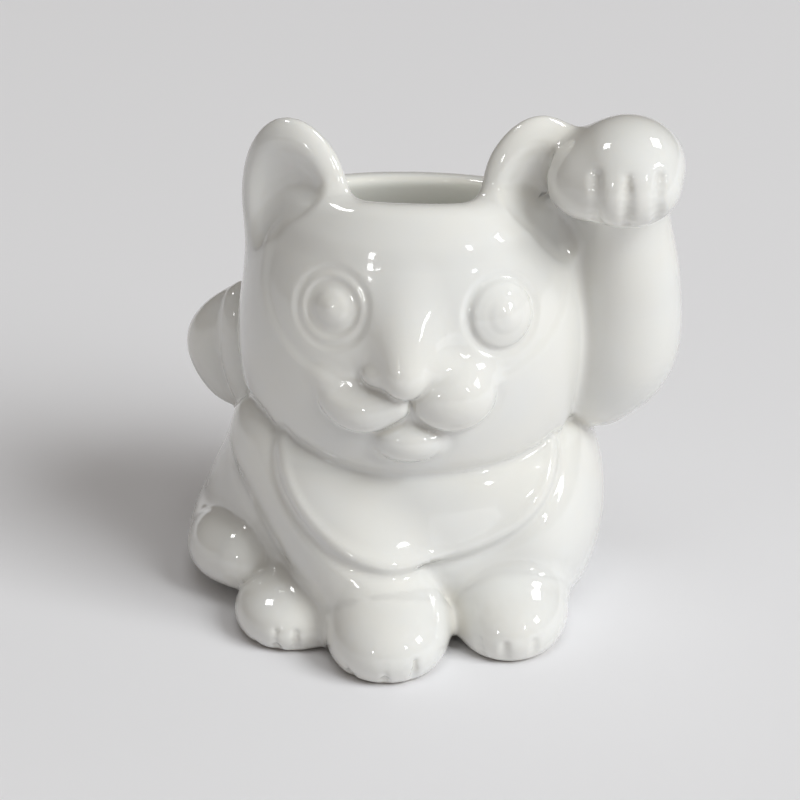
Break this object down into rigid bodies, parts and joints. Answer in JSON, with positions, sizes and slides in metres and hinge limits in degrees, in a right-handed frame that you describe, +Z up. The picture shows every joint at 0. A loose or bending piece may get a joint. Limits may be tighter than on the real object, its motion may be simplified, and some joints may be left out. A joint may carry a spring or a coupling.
{
  "type": "beckoning cat holder",
  "caption": "Small sitting beckoning cat in white glazed porcelain, left paw raised, hollow and open between the ears to hold toothpicks or one toothbrush.",
  "frame": {"origin": "middle of the flat foot, on the surface the cat stands on", "axes": "+Z up, the cat looks along -Y, its left side (the raised paw) is +X"},
  "size_m": [0.0622, 0.0542, 0.065],
  "materials": {
    "glazed_porcelain": "clear gloss glaze over white porcelain"
  },
  "bodies": {
    "root": {"torso": "glazed_porcelain", "head": "glazed_porcelain", "right_ear": "glazed_porcelain", "left_ear": "glazed_porcelain", "raised_arm": "glazed_porcelain", "bib": "glazed_porcelain", "planted_foreleg": "glazed_porcelain", "tail": "glazed_porcelain", "right_hind_foot": "glazed_porcelain", "left_hind_foot": "glazed_porcelain", "neck_bow": "glazed_porcelain"}
  },
  "joints": []
}
